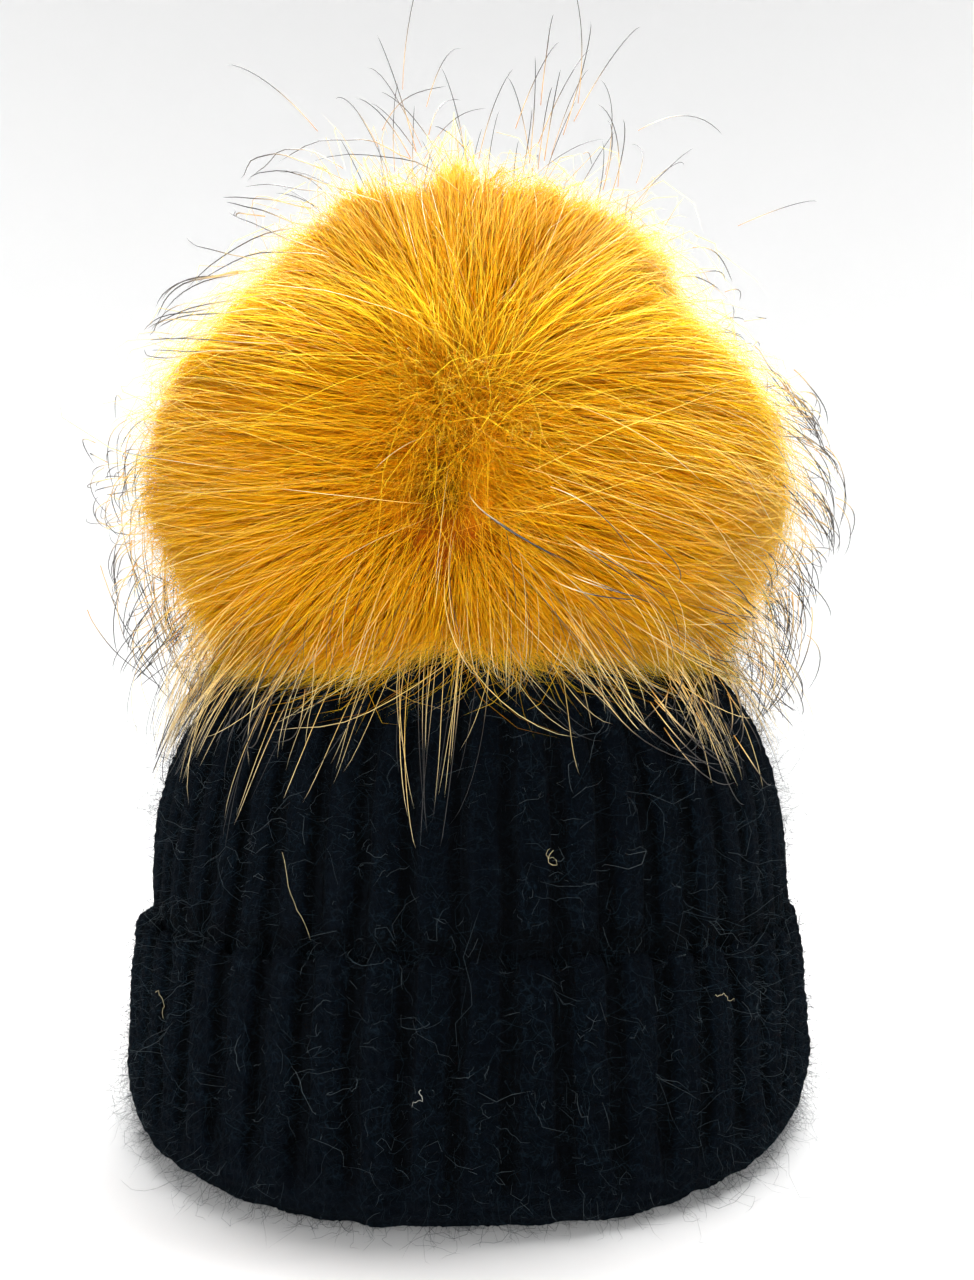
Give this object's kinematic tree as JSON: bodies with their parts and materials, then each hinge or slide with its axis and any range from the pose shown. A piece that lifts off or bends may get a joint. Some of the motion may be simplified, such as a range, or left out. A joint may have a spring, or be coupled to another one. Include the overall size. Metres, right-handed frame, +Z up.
{
  "type": "knit beanie",
  "caption": "Chunky rib-knit beanie with a deep turned-up cuff and a large detachable fur pom-pom that covers the crown.",
  "frame": {"origin": "centre of the cuff's bottom fold, on the plane that the hat stands on", "axes": "+Z up through the crown and pom-pom, +Y towards the seamed back, +X to the viewer's right from the front"},
  "size_m": [0.204, 0.204, 0.262],
  "materials": {
    "navy_rib_knit": "matte",
    "fleece": "matte",
    "sewing_thread": "matte",
    "felt": "matte",
    "snap_metal": "satin",
    "label_satin": "satin",
    "tanned_pelt": "matte",
    "fibre_filling": "matte",
    "golden_underfur": "satin",
    "cream_guard_hair": "satin"
  },
  "bodies": {
    "hat": {"knit_body": "navy_rib_knit", "turned_up_cuff": "navy_rib_knit", "cuff_cast_on_edge": "navy_rib_knit", "fleece_lining": "fleece", "lining_stitches": "sewing_thread", "back_seam": "navy_rib_knit", "crown_gathering_yarn": "navy_rib_knit", "crown_backing_patch": "felt", "snap_stud": "snap_metal", "stud_stitches": "sewing_thread", "label_stitches": "sewing_thread"},
    "label": {"care_label": "label_satin"},
    "snap_spring": {"snap_ring_spring": "snap_metal"},
    "pompom_base": {"snap_socket": "snap_metal", "pompom_base_disc": "felt", "socket_stitches": "sewing_thread"},
    "pompom": {"pompom_pelt": "tanned_pelt", "pompom_stuffing": "fibre_filling", "pompom_draw_thread": "sewing_thread", "pompom_underfur": "golden_underfur", "pompom_guard_hair": "cream_guard_hair"}
  },
  "joints": [
    {"name": "care_label_flap", "type": "hinge", "parent": "hat", "child": "label", "pos_m": [-0.0665, 0, 0.0736], "axis": [0, -1, 0], "range_deg": [0, 75]},
    {"name": "pompom_pull_off", "type": "slide", "parent": "hat", "child": "snap_spring", "axis": [0, 0, 1], "range_m": [0, 0.06]},
    {"name": "pompom_swivel", "type": "hinge", "parent": "snap_spring", "child": "pompom_base", "pos_m": [0, 0, 0.123], "axis": [0, 0, 1], "continuous": true},
    {"name": "pompom_tilt", "type": "hinge", "parent": "pompom_base", "child": "pompom", "pos_m": [0, 0, 0.127], "axis": [1, 0, 0], "range_deg": [-5, 5], "stiffness_Nm_per_rad": 0.5}
  ]
}
